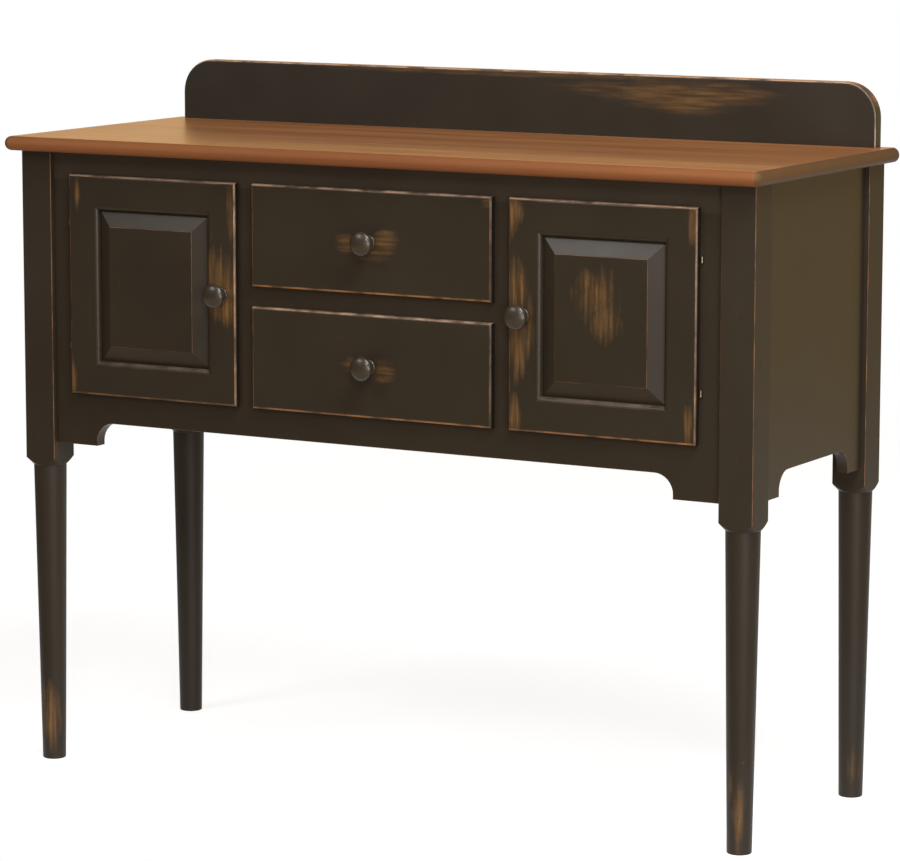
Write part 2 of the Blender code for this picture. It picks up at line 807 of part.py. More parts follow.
def door_leaf(middle):
    """Leaf that lies behind the lip and wraps along the rabbet, with the middle knuckle."""
    plate_y = (door_lip_back + seat_gap, door_lip_back + seat_gap + leaf_thickness)
    wrap_x = (rabbet_wall + seat_gap, rabbet_wall + seat_gap + leaf_thickness)
    outline = [
        (wrap_x[0], plate_y[0]),
        (door_outer, plate_y[0]),
        (door_outer, plate_y[1]),
        (wrap_x[1], plate_y[1]),
        (wrap_x[1], door_lip_back + door_leaf_wrap),
        (wrap_x[0], door_lip_back + door_leaf_wrap),
    ]
    leaf = prism(outline, "Z", middle - leaf_height / 2, middle + leaf_height / 2)
    part_z = (middle - knuckle_part / 2 + knuckle_gap, middle + knuckle_part / 2 - knuckle_gap)
    wall_middle = (knuckle_radius + pin_radius + pin_clearance) / 2
    offset = hinge_y - sum(plate_y) / 2
    strap_end = hinge_x - math.sqrt(max(wall_middle ** 2 - offset ** 2, 0))
    strap = box((door_outer - leaf_thickness, strap_end), widened(plate_y, -strap_inset),
                widened(part_z, -strap_inset))
    leaf = boolean(leaf, strap, "UNION")
    return boolean(leaf, knuckle(*part_z), "UNION")


def hinge_pin(middle):
    """Pin through the three knuckles, headed at both ends."""
    end = knuckle_height / 2 + knuckle_gap
    head_radius = pin_head_diameter / 2
    profile = [
        (0, end + pin_head_height),
        (head_radius - pin_head_chamfer, end + pin_head_height),
        (head_radius, end + pin_head_height - pin_head_chamfer),
        (head_radius, end),
        (pin_radius, end),
    ]
    profile += [(radius, -height) for radius, height in reversed(profile)]
    return moved(turned(profile, hinge_steps), (hinge_x, hinge_y, middle))


for side in ("left", "right"):
    door(side)
    for level, middle in hinge_levels:
        add(f"{side}_{level}_hinge_frame_leaf", sided(frame_leaf(middle), side), NICKEL)
        add(f"{side}_{level}_hinge_pin", sided(hinge_pin(middle), side), NICKEL)

# Magnetic catches on the top rail, each with its nose behind a lock stile

nose_front = door_back + catch_gap
nose_top = opening_high - seat_gap
plate_front = frame_back + seat_gap
catch_outline = [
    (plate_front, nose_top + catch_plate_height),
    (plate_front + catch_depth, nose_top + catch_plate_height),
    (plate_front + catch_depth, nose_top - catch_nose_height),
    (nose_front, nose_top - catch_nose_height),
    (nose_front, nose_top),
    (plate_front, nose_top),
]
catch_middle = door_inner + (rabbet + stile_width) / 2
for side in ("left", "right"):
    catch = prism(catch_outline, "X", catch_middle - catch_width / 2, catch_middle + catch_width / 2)
    add(f"{side}_door_catch", sided(catch, side), BROWN_PLASTIC)
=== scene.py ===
import json
import math

import bmesh
import bpy
from mathutils import Matrix, Vector

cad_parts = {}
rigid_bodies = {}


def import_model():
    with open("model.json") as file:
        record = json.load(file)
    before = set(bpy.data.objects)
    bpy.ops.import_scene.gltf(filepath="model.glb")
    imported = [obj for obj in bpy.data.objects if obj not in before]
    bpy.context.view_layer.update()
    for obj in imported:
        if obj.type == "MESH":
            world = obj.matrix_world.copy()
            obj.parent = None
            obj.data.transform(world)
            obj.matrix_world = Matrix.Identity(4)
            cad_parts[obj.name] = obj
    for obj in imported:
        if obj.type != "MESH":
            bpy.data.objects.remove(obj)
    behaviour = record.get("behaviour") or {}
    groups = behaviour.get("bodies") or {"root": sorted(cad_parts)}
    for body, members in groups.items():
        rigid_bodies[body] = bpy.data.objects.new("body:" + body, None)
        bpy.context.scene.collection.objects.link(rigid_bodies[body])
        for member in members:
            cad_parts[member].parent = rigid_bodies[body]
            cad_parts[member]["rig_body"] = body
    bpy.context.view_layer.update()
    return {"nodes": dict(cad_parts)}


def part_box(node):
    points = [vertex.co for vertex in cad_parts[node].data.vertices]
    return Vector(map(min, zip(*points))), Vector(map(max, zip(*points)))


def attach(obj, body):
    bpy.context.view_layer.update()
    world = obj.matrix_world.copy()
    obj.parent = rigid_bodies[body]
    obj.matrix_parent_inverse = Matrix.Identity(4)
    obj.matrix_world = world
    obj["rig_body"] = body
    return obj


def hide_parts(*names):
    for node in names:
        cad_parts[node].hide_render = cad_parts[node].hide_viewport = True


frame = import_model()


# Legs
# Four hardwood posts, square where the case is joined and turned to a taper below a shoulder.
# They are painted black over stained wood, and the arrises and feet are rubbed through.

def part(tree, kind, inputs=None, **settings):
    """One node of a finish, with its inputs set to values or joined to other nodes."""
    made = tree.nodes.new(kind)
    for name, value in settings.items():
        setattr(made, name, value)
    for name, value in (inputs or {}).items():
        if isinstance(value, bpy.types.NodeSocket):
            tree.links.new(value, made.inputs[name])
        else:
            made.inputs[name].default_value = value
    return made


def sums(tree, operation, first, second):
    """A sum worked out over the surface."""
    return part(tree, "ShaderNodeMath", {0: first, 1: second}, operation=operation).outputs[0]


def spread(tree, value, low, high, to_low=0.0, to_high=1.0):
    """A value taken from low..high to another range, and held at its ends."""
    inputs = {"Value": value, "From Min": low, "From Max": high, "To Min": to_low, "To Max": to_high}
    return part(tree, "ShaderNodeMapRange", inputs).outputs["Result"]


def blended(tree, share, first, second):
    """Two colours laid over each other."""
    mixed = part(tree, "ShaderNodeMix", {"Factor": share}, data_type="RGBA")
    for slot, colour in (("A_Color", first), ("B_Color", second)):
        socket = next(s for s in mixed.inputs if s.identifier == slot)
        if isinstance(colour, bpy.types.NodeSocket):
            tree.links.new(colour, socket)
        else:
            socket.default_value = (*colour, 1)
    return next(s for s in mixed.outputs if s.identifier == "Result_Color")


def figure(tree, place, scale, detail=3.0, distortion=0.0):
    """Cloudy or streaky figure, stretched by a scale for each direction."""
    stretched = part(tree, "ShaderNodeMapping", {"Vector": place, "Scale": scale}).outputs["Vector"]
    inputs = {"Vector": stretched, "Scale": 1.0, "Detail": detail, "Distortion": distortion}
    return part(tree, "ShaderNodeTexNoise", inputs).outputs["Fac"]


def along(grain, run, across):
    """Scales of a figure that runs along one of the axes."""
    return [run if axis == grain else across for axis in "XYZ"]


def black_paint(name, grain, worn=(), line_wear=0.7, gloss=0.30, shine=0.22, streaks=1.0,
                coat=(0.0232, 0.0168, 0.0102)):
    """Satin paint brushed along the grain, rubbed thin at arrises and at places (middle, reach, strength)."""
    finish = bpy.data.materials.new(name)
    finish.use_nodes = True
    tree = finish.node_tree
    shader = tree.nodes["Principled BSDF"]
    place = part(tree, "ShaderNodeTexCoord").outputs["Object"]
    brush = figure(tree, place, along(grain, 6, 190), 3)
    cloud = figure(tree, place, (9, 9, 9), 3)
    streak = figure(tree, place, along(grain, 13, 210), 4, 0.2)
    blotch = figure(tree, place, along(grain, 38, 80), 3)

    rubbed = sums(tree, "MULTIPLY", cloud, 0.1)
    for middle, reach, strength in worn:
        fitted = {"Vector": place, "Location": middle, "Scale": reach}
        centred = part(tree, "ShaderNodeMapping", fitted, vector_type="TEXTURE").outputs["Vector"]
        ball = part(tree, "ShaderNodeTexGradient", {"Vector": centred}, gradient_type="SPHERICAL")
        patch = spread(tree, ball.outputs["Fac"], 0.0, 0.75, 0.0, strength)
        rubbed = sums(tree, "MAXIMUM", rubbed, patch)
    speck = figure(tree, place, along(grain, 260, 420), 2)
    marks = ((streak, 0.55), (blotch, 0.55), (speck, 0.35))
    uneven = sum(0.5 * weight for mark, weight in marks) * (1 - streaks)
    for mark, weight in marks:
        uneven = sums(tree, "ADD", uneven, sums(tree, "MULTIPLY", mark, weight * streaks))
    thin = spread(tree, sums(tree, "ADD", rubbed, uneven), 0.95, 2.1)
    arris = part(tree, "ShaderNodeAttribute", attribute_name="rubbed").outputs["Fac"]
    broken = spread(tree, figure(tree, place, (30, 30, 30), 3), 0.36, 0.62, 0.15, 1.0)
    line = sums(tree, "MULTIPLY", sums(tree, "MULTIPLY", arris, broken), line_wear)
    line = sums(tree, "MAXIMUM", line, 0.0)
    chips = part(tree, "ShaderNodeTexVoronoi", {"Vector": place, "Scale": 24.0})
    small = spread(tree, chips.outputs["Distance"], 0.035, 0.02)
    lot = part(tree, "ShaderNodeSeparateColor", {"Color": chips.outputs["Color"]}).outputs["Red"]
    chip = sums(tree, "MULTIPLY", small, spread(tree, lot, 0.84, 0.9, 0.0, 0.10))

    thin_coat, thick_coat, painted_shade = [[c * share for c in coat] for share in (0.82, 1.18, 0.3)]
    dark_wood, light_wood = (0.070, 0.033, 0.010), (0.205, 0.104, 0.036)
    brown_edge, highlight_edge = (0.34, 0.150, 0.052), (0.37, 0.255, 0.18)
    chipped = (0.42, 0.34, 0.26)
    paint = blended(tree, cloud, thin_coat, thick_coat)
    wood = blended(tree, spread(tree, streak, 0.35, 0.65), dark_wood, light_wood)
    colour = blended(tree, thin, paint, wood)
    # The pale edge colour is a painted highlight, laid over rubbed lines as far as the "pale" mark asks.
    pale = part(tree, "ShaderNodeAttribute", attribute_name="pale").outputs["Fac"]
    colour = blended(tree, line, colour, blended(tree, pale, brown_edge, highlight_edge))
    # Faces marked below zero take a dark coat: painted shade on the far sides of right-hand lips.
    colour = blended(tree, spread(tree, arris, 0.0, -1.0), colour, painted_shade)
    colour = blended(tree, chip, colour, chipped)
    tree.links.new(colour, shader.inputs["Base Color"])
    bare = sums(tree, "MAXIMUM", thin, line)
    dull = sums(tree, "ADD", spread(tree, cloud, 0.3, 0.7, gloss - 0.02, gloss + 0.04),
                sums(tree, "MULTIPLY", bare, 0.14))
    tree.links.new(dull, shader.inputs["Roughness"])
    shader.inputs["Specular IOR Level"].default_value = shine
    relief = sums(tree, "SUBTRACT", sums(tree, "MULTIPLY", brush, 0.35), sums(tree, "MULTIPLY", bare, 0.5))
    bump = part(tree, "ShaderNodeBump", {"Height": relief, "Strength": 0.18, "Distance": 0.0006})
    tree.links.new(bump.outputs["Normal"], shader.inputs["Normal"])
    return finish


def smoothed(node, name, finish, arris=None, soften=0.0, softened=None, worn_edge=1.0,
             smooth_angle=40, closed=()):
    """Merged copy of a CAD piece, with joints closed (axis, at, to), edges softened and arrises marked."""
    touching = 0.00002
    level, square_edge = math.radians(0.4), math.radians(25)
    original = frame["nodes"][node]
    bm = bmesh.new()
    bm.from_mesh(original.data)
    bmesh.ops.remove_doubles(bm, verts=bm.verts, dist=touching)
    bmesh.ops.dissolve_limit(bm, angle_limit=level, verts=bm.verts, edges=bm.edges)
    for axis, at, to in closed:
        for vert in bm.verts:
            if abs(vert.co[axis] - at) < touching:
                vert.co[axis] = to
    # On paint, the "rubbed" mark is wear, or painted shade where it is below zero, and the "pale" mark is a
    # painted highlight; on the top board they mark the bullnose and the cut ends.
    marked, paled = [bm.faces.layers.float.new(layer) for layer in ("rubbed", "pale")]
    if arris:
        for face in bm.faces:
            face[marked], face[paled] = arris(face.normal, face.calc_center_median())
    if softened:
        chosen = [e for e in bm.edges if e.is_convex and softened(*[v.co for v in e.verts])
                  and e.calc_face_angle(0) > square_edge]
        made = bmesh.ops.bevel(bm, geom=chosen, offset=soften, offset_type="OFFSET", segments=3, profile=0.5,
                               affect="EDGES", material=-1, clamp_overlap=True)
        for face in made["faces"]:
            face[marked] = worn_edge
    mesh = bpy.data.meshes.new(name)
    bm.to_mesh(mesh)
    bm.free()
    if "custom_normal" in mesh.attributes:
        mesh.attributes.remove(mesh.attributes["custom_normal"])
    mesh.shade_smooth()
    mesh.set_sharp_from_angle(angle=math.radians(smooth_angle))
    mesh.materials.append(finish)
    piece = bpy.data.objects.new(name, mesh)
    bpy.context.scene.collection.objects.link(piece)
    flat = piece.modifiers.new("flat faces stay flat", "WEIGHTED_NORMAL")
    flat.keep_sharp = True
    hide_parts(node)
    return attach(piece, original["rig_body"])


# Worn places near the feet, from the middle of the foot: (middle, reach, strength)
foot_rubs = {
    "front_left": [
        ((0.0061, -0.0155, 0.066), (0.018, 0.020, 0.066), 1.10),
        ((-0.0059, -0.0155, 0.095), (0.008, 0.020, 0.050), 0.75),
        ((-0.0159, 0.0035, 0.050), (0.012, 0.018, 0.060), 0.80),
    ],
    "front_right": [
        ((0.0049, -0.0155, 0.058), (0.013, 0.020, 0.072), 0.66),
        ((-0.0061, -0.0155, 0.100), (0.007, 0.020, 0.040), 0.70),
    ],
    "rear_left": [((-0.0069, 0.0109, 0.055), (0.016, 0.020, 0.055), 0.80)],
    "rear_right": [
        ((0.0099, -0.0121, 0.050), (0.016, 0.020, 0.060), 0.42),
        ((-0.0081, 0.0139, 0.070), (0.014, 0.020, 0.060), 0.80),
    ],
}
foot_wear = []
for corner, rubs in foot_rubs.items():
    low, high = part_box(f"{corner}_leg")
    foot = Vector(((low.x + high.x) / 2, (low.y + high.y) / 2, 0))
    foot_wear += [(foot + Vector(place), reach, strength) for place, reach, strength in rubs]
leg_paint = black_paint("leg_paint", "Z", foot_wear, line_wear=0.75, gloss=0.42, shine=0.21)
shoulder_top = 0.459


def on_leg_arris(normal, middle):
    """The upright arrises of the square part."""
    upright = abs(normal.z) < 0.1 and abs(normal.x) > 0.35 and abs(normal.y) > 0.35
    return float(upright and middle.z > shoulder_top), 0.0


for end in ("front", "rear"):
    for side in ("left", "right"):
        smoothed(f"{end}_{side}_leg", f"{end}_{side}_post", leg_paint, on_leg_arris,
                 smooth_angle=30)


# Face frame
# Rails, stiles and mullions of hardwood, glued up flush and set a little behind the faces of the front legs.
# The apron at the foot is sawn to a shape, and its lower arris is sanded soft and rubbed.

frame_paint_across = black_paint("frame_paint_across", "X")
frame_paint_upright = black_paint("frame_paint_upright", "Z")
apron_low, apron_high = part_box("front_apron")
tenon_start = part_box("front_right_leg")[0].x
in_plane, upright_run = 0.0001, 0.00001
sanded = 0.0011
x_axis, z_axis = 0, 2


def on_lower_front_edge(a, b):
    """An edge along the shaped lower line of the apron, at its face and between the legs."""
    at_face = max(abs(a.y - apron_low.y), abs(b.y - apron_low.y)) < in_plane
    below = max(a.z, b.z) < apron_high.z - 0.01
    between = max(abs(a.x), abs(b.x)) < tenon_start - in_plane
    return at_face and below and between and abs(a.x - b.x) > upright_run


# The top rail gets a lighter coat than the rest of the frame: painted light that lifts the shade under the
# overhang of the top.
lightened_rail_paint = black_paint("top_rail_paint", "X", coat=(0.0305, 0.0225, 0.0145))
smoothed("top_rail", "painted_top_rail", lightened_rail_paint)
smoothed("front_apron", "shaped_apron", frame_paint_across,
         soften=sanded, softened=on_lower_front_edge)
rail_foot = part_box("top_rail")[0].z
for name in ("left_stile", "right_stile", "left_mullion", "right_mullion"):
    low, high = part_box(name)
    gaps = [(z_axis, low.z, apron_high.z), (z_axis, high.z, rail_foot)]
    smoothed(name, f"painted_{name}", frame_paint_upright, closed=gaps)
low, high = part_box("drawer_divider")
gaps = [(x_axis, low.x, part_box("left_mullion")[1].x), (x_axis, high.x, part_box("right_mullion")[0].x)]
smoothed("drawer_divider", "painted_divider", frame_paint_across, closed=gaps)


# Side panels
# A glued-up board at each end, tenoned into the legs a little behind their faces.
# Its lower edge is sawn to the same shape as the apron.

side_paint = black_paint("side_paint", "Z", line_wear=0.5)
for side in ("left", "right"):
    low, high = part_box(f"{side}_side_panel")
    outside = high.x if side == "right" else low.x

    def on_lower_outer_edge(a, b):
        """An edge along the shaped lower line of the panel, at its outer face."""
        at_face = max(abs(a.x - outside), abs(b.x - outside)) < in_plane
        below = max(a.z, b.z) < low.z + 0.05
        return at_face and below and abs(a.y - b.y) > upright_run

    smoothed(f"{side}_side_panel", f"{side}_end_board", side_paint,
             soften=sanded, softened=on_lower_outer_edge)


# Inside of the case and its back
# Planed boards left bare: bottom, partitions, dust board and rear rails, with a thin back let in behind.
# The back is nailed to the rails above and below.

def bare_wood(name, grain, pale=(0.60, 0.42, 0.24), dark=(0.42, 0.26, 0.13)):
    """Planed pale wood with its growth lines and fine pores."""
    finish = bpy.data.materials.new(name)
    finish.use_nodes = True
    tree = finish.node_tree
    shader = tree.nodes["Principled BSDF"]
    place = part(tree, "ShaderNodeTexCoord").outputs["Object"]
    bands = figure(tree, place, along(grain, 1.3, 26), 4, 1.2)
    pores = figure(tree, place, along(grain, 14, 420), 2)
    cloud = figure(tree, place, (5, 5, 5), 2)
    growth = spread(tree, bands, 0.36, 0.66)
    colour = blended(tree, growth, pale, dark)
    colour = blended(tree, spread(tree, pores, 0.55, 0.75, 0.0, 0.45), colour, [c * 0.6 for c in dark])
    colour = blended(tree, spread(tree, cloud, 0.3, 0.75, 0.0, 0.35), colour, [c * 0.8 for c in pale])
    tree.links.new(colour, shader.inputs["Base Color"])
    tree.links.new(spread(tree, pores, 0.3, 0.7, 0.55, 0.72), shader.inputs["Roughness"])
    shader.inputs["Specular IOR Level"].default_value = 0.35
    bump = part(tree, "ShaderNodeBump", {"Height": pores, "Strength": 0.25, "Distance": 0.0004})
    tree.links.new(bump.outputs["Normal"], shader.inputs["Normal"])
    return finish


board_across = bare_wood("board_across", "X")
board_upright = bare_wood("board_upright", "Z")
board_deep = bare_wood("board_deep", "Y")
for name in ("rear_top_rail", "rear_bottom_rail", "case_bottom"):
    frame["nodes"][name].data.materials[0] = board_across
frame["nodes"]["back_panel"].data.materials[0] = board_upright
for name in ("left_partition", "right_partition", "dust_board"):
    frame["nodes"][name].data.materials[0] = board_deep


def metal(name, colour, roughness):
    """Plated or plain metal, faintly scratched and clouded."""
    finish = bpy.data.materials.new(name)
    finish.use_nodes = True
    tree = finish.node_tree
    shader = tree.nodes["Principled BSDF"]
    place = part(tree, "ShaderNodeTexCoord").outputs["Object"]
    cloud = figure(tree, place, (180, 180, 180), 3)
    scratch = figure(tree, place, (90, 90, 1900), 2)
    tree.links.new(blended(tree, cloud, [c * 0.72 for c in colour], colour), shader.inputs["Base Color"])
    dull = spread(tree, scratch, 0.3, 0.7, roughness - 0.05, roughness + 0.12)
    tree.links.new(dull, shader.inputs["Roughness"])
    shader.inputs["Metallic"].default_value = 1.0
    return finish


def seated(bm, name, finish, body):
    """The finished mesh as a piece that rides on its body."""
    mesh = bpy.data.meshes.new(name)
    bm.to_mesh(mesh)
    bm.free()
    mesh.shade_smooth()
    mesh.set_sharp_from_angle(angle=math.radians(35))
    mesh.materials.append(finish)
    piece = bpy.data.objects.new(name, mesh)
    bpy.context.scene.collection.objects.link(piece)
    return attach(piece, body)


def turned_head(bm, profile, steps, place, facing):
    """A small head spun from (radius, height) points, set at a place and facing along a direction."""
    verts = [bm.verts.new((radius, 0, height)) for radius, height in profile]
    edges = [bm.edges.new(pair) for pair in zip(verts, verts[1:])]
    before = set(bm.verts) - set(verts)
    bmesh.ops.spin(bm, geom=verts + edges, axis=(0, 0, 1), angle=math.tau, steps=steps, use_merge=True)
    new = [v for v in bm.verts if v not in before]
    bmesh.ops.remove_doubles(bm, verts=new, dist=0.00001)
    new = [v for v in bm.verts if v not in before]
    faces = {f for v in new for f in v.link_faces}
    bmesh.ops.recalc_face_normals(bm, faces=list(faces))
    turn = Vector((0, 0, 1)).rotation_difference(Vector(facing)).to_matrix()
    bmesh.ops.rotate(bm, verts=new, matrix=turn)
    bmesh.ops.translate(bm, verts=new, vec=place)


nail_steel = metal("nail_steel", (0.34, 0.33, 0.32), 0.42)
nail_profile = [(0, 0.0006), (0.0011, 0.0005), (0.0017, 0.0002), (0.0018, -0.0004), (0, -0.0004)]
back_low, back_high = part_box("back_panel")
back_nails = bmesh.new()
nail_rows = (back_low.z + 0.016, back_high.z - 0.018)
nails_in_row, nail_steps, nail_inset = 9, 10, 0.03
row_length = back_high.x - back_low.x - 2 * nail_inset
for row in nail_rows:
    for count in range(nails_in_row):
        x = back_low.x + nail_inset + row_length * count / (nails_in_row - 1)
        turned_head(back_nails, nail_profile, nail_steps, (x, back_high.y, row), (0, 1, 0))
seated(back_nails, "back_nails", nail_steel, "case")


# Top board
# Stained and lacquered hardwood, glued up from staves that run the length of the top.
# Its front and ends are rolled to a bullnose, and it is screwed down from below.

def stained_top(name):
    """Warm brown stain under satin lacquer, with stave joints, growth figure and dark mineral streaks."""
    finish = bpy.data.materials.new(name)
    finish.use_nodes = True
    tree = finish.node_tree
    shader = tree.nodes["Principled BSDF"]
    place = part(tree, "ShaderNodeTexCoord").outputs["Object"]
    depth = part(tree, "ShaderNodeSeparateXYZ", {"Vector": place}).outputs["Y"]
    stave_width = 0.094
    number = sums(tree, "FLOOR", sums(tree, "DIVIDE", sums(tree, "ADD", depth, 0.31), stave_width), 0.0)
    shade = part(tree, "ShaderNodeTexWhiteNoise", {"W": number}, noise_dimensions="1D").outputs["Value"]
    shift = part(tree, "ShaderNodeCombineXYZ", {"X": sums(tree, "MULTIPLY", number, 3.7)}).outputs["Vector"]
    own = part(tree, "ShaderNodeVectorMath", {0: place, 1: shift}, operation="ADD").outputs["Vector"]
    bands = figure(tree, own, (1.1, 30, 30), 5, 1.6)
    fine = figure(tree, own, (9, 330, 330), 3)
    blush = figure(tree, own, (3, 9, 9), 3)
    light_band, dark_band = (0.340, 0.138, 0.0455), (0.176, 0.064, 0.020)
    pore, warm, dark_stave = (0.105, 0.034, 0.010), (0.330, 0.139, 0.0455), (0.190, 0.070, 0.0215)
    darker_nose, end_grain = (0.135, 0.043, 0.0145), (0.080, 0.043, 0.0175)
    colour = blended(tree, spread(tree, bands, 0.34, 0.68), light_band, dark_band)
    colour = blended(tree, spread(tree, fine, 0.52, 0.72, 0.0, 0.4), colour, pore)
    colour = blended(tree, spread(tree, blush, 0.42, 0.75, 0.0, 0.4), colour, warm)
    colour = blended(tree, sums(tree, "MULTIPLY", shade, 0.30), colour, dark_stave)
    rolled = part(tree, "ShaderNodeAttribute", attribute_name="rubbed").outputs["Fac"]
    cut_across = part(tree, "ShaderNodeAttribute", attribute_name="pale").outputs["Fac"]
    colour = blended(tree, sums(tree, "MULTIPLY", rolled, 0.75), colour, darker_nose)
    colour = blended(tree, sums(tree, "MULTIPLY", cut_across, 0.9), colour, end_grain)
    tree.links.new(colour, shader.inputs["Base Color"])
    dull = sums(tree, "ADD", spread(tree, fine, 0.3, 0.75, 0.28, 0.38), sums(tree, "MULTIPLY", rolled, 0.20))
    tree.links.new(dull, shader.inputs["Roughness"])
    tree.links.new(spread(tree, rolled, 0.0, 1.0, 0.38, 0.16), shader.inputs["Specular IOR Level"])
    bump = part(tree, "ShaderNodeBump", {"Height": fine, "Strength": 0.10, "Distance": 0.0003})
    tree.links.new(bump.outputs["Normal"], shader.inputs["Normal"])
    return finish


def on_rolled_edge(normal, middle):
    """The bullnose, coloured darker than the flat top, and the ends, where the grain is cut across."""
    return float(abs(normal.z) < 0.97), float(abs(normal.x) > 0.25)


top_stain = stained_top("top_stain")
smoothed("top_board", "bullnose_top", top_stain, on_rolled_edge, smooth_angle=50)


# Backsplash
# A low board with round upper corners that stands along the back of the top, screwed from below.
# Its upper edge has been rubbed nearly bare, and the face shows one worn streak.

splash_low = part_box("backsplash")[0]


def on_face(face, rubs):
    """Worn places (x, z, half width, half height, strength) on an upright face."""
    depth = 0.02
    return [((x, face, z), (across, depth, up), strength) for x, z, across, up, strength in rubs]


def on_splash_edge(normal, middle):
    """The softened arrises, rubbed and given a pale painted highlight, and the upper edge itself, rubbed."""
    oblique = abs(normal.y) > 0.3 and max(abs(normal.x), abs(normal.z)) > 0.3
    upper = max(0.0, normal.z - 0.25) / 0.75 if middle.z > splash_low.z + 0.02 else 0.0
    return max(2.0 * upper, 1.3 * oblique), 0.8 * oblique


splash_rubs = [
    (0.250, 0.998, 0.150, 0.030, 0.74),
    (0.290, 0.988, 0.110, 0.026, 0.80),
    (0.335, 1.000, 0.130, 0.026, 0.70),
    (0.150, 1.004, 0.140, 0.020, 0.45),
    (0.0, 1.020, 0.55, 0.007, 0.55),
]
splash_wear = on_face(splash_low.y, splash_rubs)
splash_paint = black_paint("splash_paint", "X", splash_wear, line_wear=0.9, streaks=0.6,
                           coat=(0.0268, 0.0208, 0.0145))
smoothed("backsplash", "rubbed_backsplash", splash_paint, on_splash_edge, smooth_angle=50)


# Drawers
# Lipped fronts of painted hardwood on boxes of bare wood, the bottoms let into grooves.
# The sides are nailed to the front and the back, and a screw through the front holds the knob.

def on_lip(low, high, upper=1.0, lower=1.0, right=1.0):
    """Rubbing on the rounded edge of a lipped face, by side, with a pale painted highlight on upper and
    right-hand lips, painted shade on the far side of the right-hand lip, and a pale painted highlight on
    mouldings that look upwards.
    """
    edge_width = 0.0049

    def rubbed(normal, middle):
        if min(middle.x - low.x, high.x - middle.x, middle.z - low.z, high.z - middle.z) > edge_width:
            # Mouldings that look upwards get a faint pale line: a painted highlight.
            upward = normal.z > 0.15 and normal.y < -0.15
            return 0.08 * upward + 0.18 * (upward and 0.6 < normal.z < 0.95), 1.0
        turn = math.degrees(math.acos(min(1.0, -normal.y)))
        start, middle_of_curve, end = 15 < turn < 35, 35 < turn < 55, 55 < turn < 91
        # Right-hand lips: the start of the curve is rubbed and half lightened with a painted highlight; the
        # far side, facing right, takes painted shade.
        if normal.x > 0.2:
            return right * (start + 0.4 * middle_of_curve) - end, 0.5
        if normal.x < -0.2:
            return 0.3 * start + 0.7 * middle_of_curve + 0.3 * end, 0.0
        if normal.z < -0.2:
            return lower * (start + 1.8 * middle_of_curve + 0.5 * end), 0.0
        # Upper lips: rubbed lines, lightened towards a pale painted highlight.
        return upper * (0.1 * start + 1.5 * middle_of_curve + 1.3 * end), 0.7
    return rubbed


screw_steel = metal("screw_steel", (0.62, 0.58, 0.50), 0.34)


def screw(bm, place, facing, radius, height):
    """Slotted round head: a domed half on either side of the slot, on a thin disc."""
    disc, steps, slot_turn = 0.0003, 16, 0.6
    turned_head(bm, [(0, disc), (radius, disc), (radius, 0), (0, 0)], steps, place, facing)
    half = bmesh.new()
    dome = [(0, height), (radius * 0.5, height * 0.86), (radius * 0.85, height * 0.5),
            (radius, disc), (0, disc)]
    turned_head(half, dome, steps, (0, 0, 0), (0, 0, 1))
    geom = half.verts[:] + half.edges[:] + half.faces[:]
    slot_side = (0, radius * 0.16, 0)
    cut = bmesh.ops.bisect_plane(half, geom=geom, plane_co=slot_side, plane_no=(0, 1, 0), clear_inner=True)
    bmesh.ops.holes_fill(half, edges=[e for e in cut["geom_cut"] if isinstance(e, bmesh.types.BMEdge)])
    bmesh.ops.mirror(half, geom=half.verts[:] + half.edges[:] + half.faces[:], axis="Y", merge_dist=0)
    bmesh.ops.recalc_face_normals(half, faces=half.faces)
    turn = Vector((0, 0, 1)).rotation_difference(Vector(facing)).to_matrix().to_4x4()
    half.transform(Matrix.Translation(place) @ turn @ Matrix.Rotation(slot_turn, 4, "Z"))
    loose = bpy.data.meshes.new("screw_half")
    half.to_mesh(loose)
    half.free()
    bm.from_mesh(loose)
    bpy.data.meshes.remove(loose)


drawer_rubs = {
    "upper": [
        (-0.034, 0.804, 0.032, 0.022, 0.65),
        (0.026, 0.808, 0.030, 0.026, 0.75),
        (0.000, 0.792, 0.050, 0.018, 0.55),
        (0.190, 0.872, 0.018, 0.010, 0.45),
        (-0.193, 0.835, 0.006, 0.040, 0.40),
    ],
    "lower": [
        (-0.030, 0.634, 0.024, 0.020, 0.52),
        (0.024, 0.626, 0.028, 0.030, 0.62),
    ],
}
drawer_lips = {"upper": {"upper": 1.1, "right": 0.35}, "lower": {"upper": 0.7, "lower": 0.85, "right": 0.35}}
box_pale, box_dark = (0.64, 0.47, 0.28), (0.47, 0.31, 0.17)
box_wood = bare_wood("drawer_box_wood", "Y", box_pale, box_dark)
box_wood_across = bare_wood("drawer_box_wood_across", "X", box_pale, box_dark)
nail_heights, nail_sunk = (0.3, 0.6, 0.85), 0.0003
knob_screw = {"radius": 0.0045, "height": 0.0022}
proud = 0.0001
